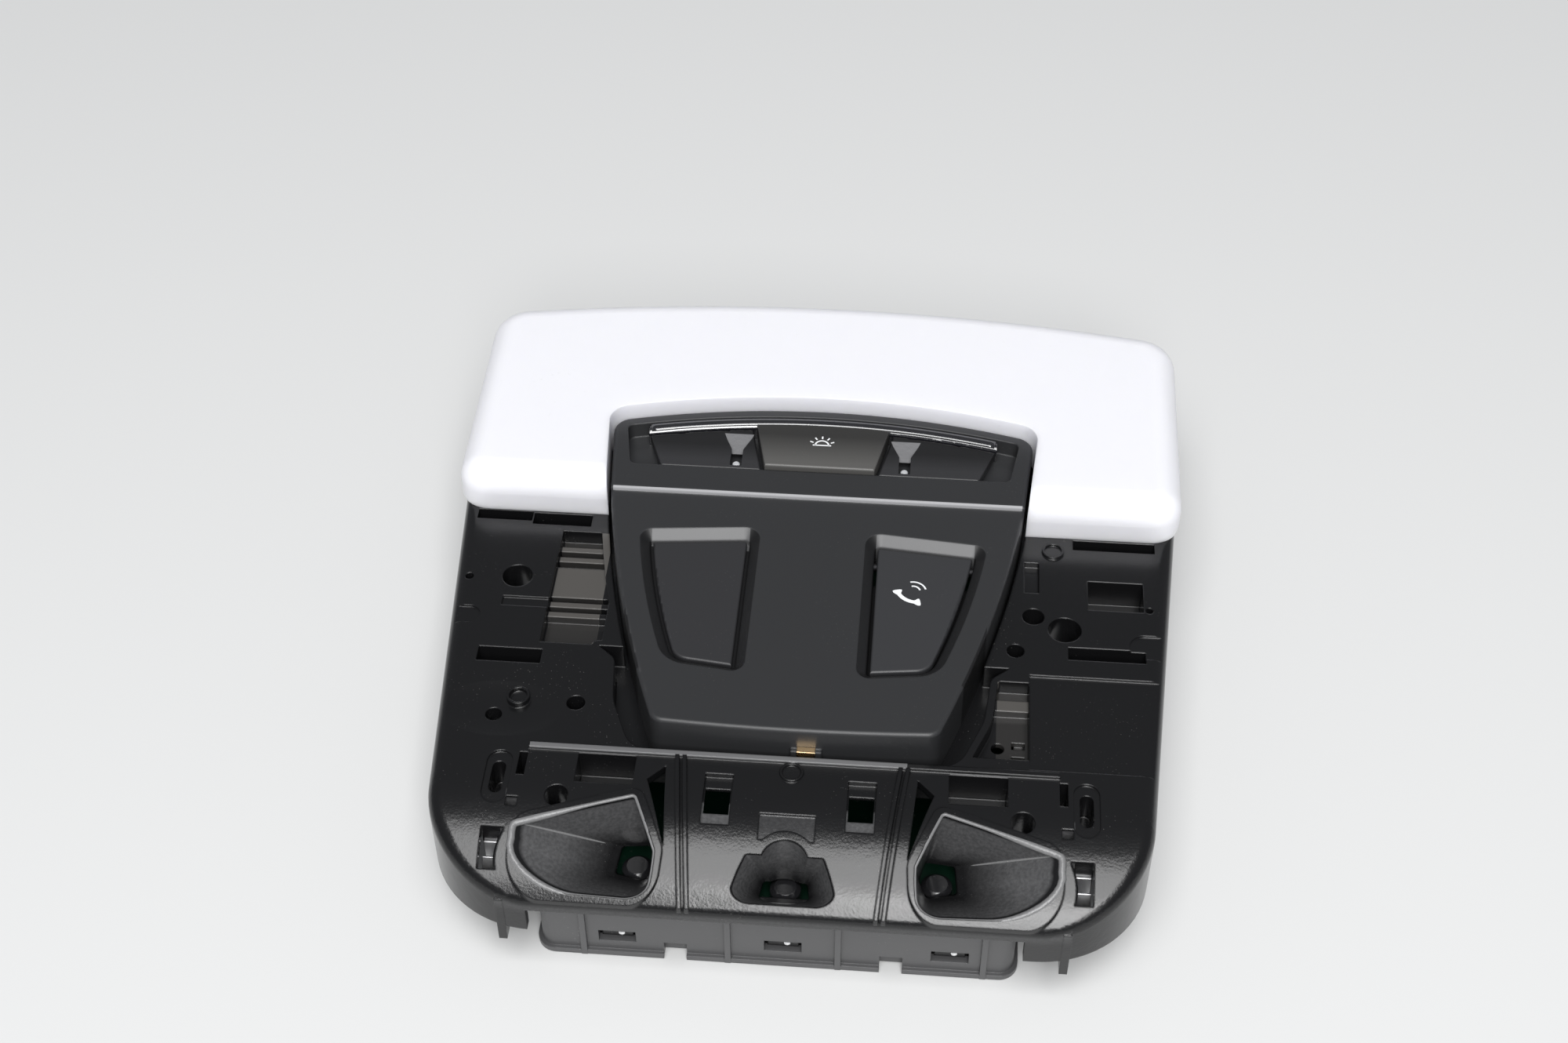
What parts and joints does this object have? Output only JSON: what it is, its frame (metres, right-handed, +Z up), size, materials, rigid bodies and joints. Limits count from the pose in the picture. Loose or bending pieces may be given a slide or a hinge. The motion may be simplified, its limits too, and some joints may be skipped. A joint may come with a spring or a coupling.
{
  "type": "car interior light",
  "caption": "Overhead car light unit: opal dome lens around a switch bezel with reading keys, a call flap and an indicator window, on a black carrier with light tunnels.",
  "frame": {"origin": "on the centre plane, on the resting face under the rear housing, below the line where the lens and the carrier meet", "axes": "+Z up, out of the cabin side with the keys; +Y towards the lens end; +X to the right when the lens end is farther away"},
  "size_m": [0.1558, 0.1604, 0.04],
  "materials": {
    "carrier_plastic": "fine grain, semi-gloss",
    "housing_plastic": "fine grain",
    "lens_opal": "frosted, milky",
    "bezel_soft": "soft-touch paint",
    "trim_gloss": "polished",
    "side_key_grey": "fine grain",
    "dome_key_grey": "fine grain",
    "switch_plastic": "plain",
    "pipe_clear": "frosted end",
    "window_smoke": "smoked, fine grain",
    "flap_grey": "soft-touch paint with a printed pictogram",
    "call_red": "satin",
    "board_green": "solder mask",
    "clip_steel": "spring steel",
    "led_white": "moulded",
    "reflector_white": "plain white",
    "optic_clear": "clear moulded",
    "connector_plastic": "plain",
    "pin_brass": "tinned",
    "clip_brass": "bright"
  },
  "bodies": {
    "base": {"carrier": "carrier_plastic", "rear_housing": "housing_plastic", "opal_lens": "lens_opal", "centre_bezel": "bezel_soft", "gloss_trim": "trim_gloss", "left_light_pipe": "pipe_clear", "right_light_pipe": "pipe_clear", "indicator_window": "window_smoke", "indicator_light_box": "reflector_white", "flap_hinge_pin": "clip_steel", "call_switch": "switch_plastic", "key_switches": "switch_plastic", "bezel_board": "board_green", "bezel_board_screws": "clip_steel", "bezel_leds": "led_white", "dome_board": "board_green", "dome_leds": "led_white", "dome_reflector": "reflector_white", "main_board": "board_green", "reading_leds": "led_white", "reading_optics": "optic_clear", "board_link": "connector_plastic", "dome_link": "connector_plastic", "connector_shroud": "connector_plastic", "connector_pins": "pin_brass", "left_roof_clip": "clip_steel", "right_roof_clip": "clip_steel", "bezel_clip": "clip_brass"},
    "left_key": {"left_reading_key": "side_key_grey", "left_key_plunger": "switch_plastic"},
    "dome_key": {"dome_light_key": "dome_key_grey", "dome_key_plunger": "switch_plastic"},
    "right_key": {"right_reading_key": "side_key_grey", "right_key_plunger": "switch_plastic"},
    "call_key": {"call_button": "call_red", "call_plunger": "switch_plastic"},
    "flap": {"call_flap": "flap_grey"}
  },
  "joints": [
    {"name": "left_key_press", "type": "slide", "parent": "base", "child": "left_key", "axis": [0, 0, -1], "range_m": [0, 0.0009], "stiffness_N_per_m": 600, "springref_m": -0.001},
    {"name": "dome_key_press", "type": "slide", "parent": "base", "child": "dome_key", "axis": [0, 0, -1], "range_m": [0, 0.0009], "stiffness_N_per_m": 600, "springref_m": -0.001},
    {"name": "right_key_press", "type": "slide", "parent": "base", "child": "right_key", "axis": [0, 0, -1], "range_m": [0, 0.0009], "stiffness_N_per_m": 600, "springref_m": -0.001},
    {"name": "call_press", "type": "slide", "parent": "base", "child": "call_key", "axis": [0, 0, -1], "range_m": [0, 0.0009], "stiffness_N_per_m": 600, "springref_m": -0.001},
    {"name": "flap_lift", "type": "hinge", "parent": "base", "child": "flap", "pos_m": [0, -0.0152, 0.0329], "axis": [-1, 0, 0], "range_deg": [0, 75]}
  ]
}
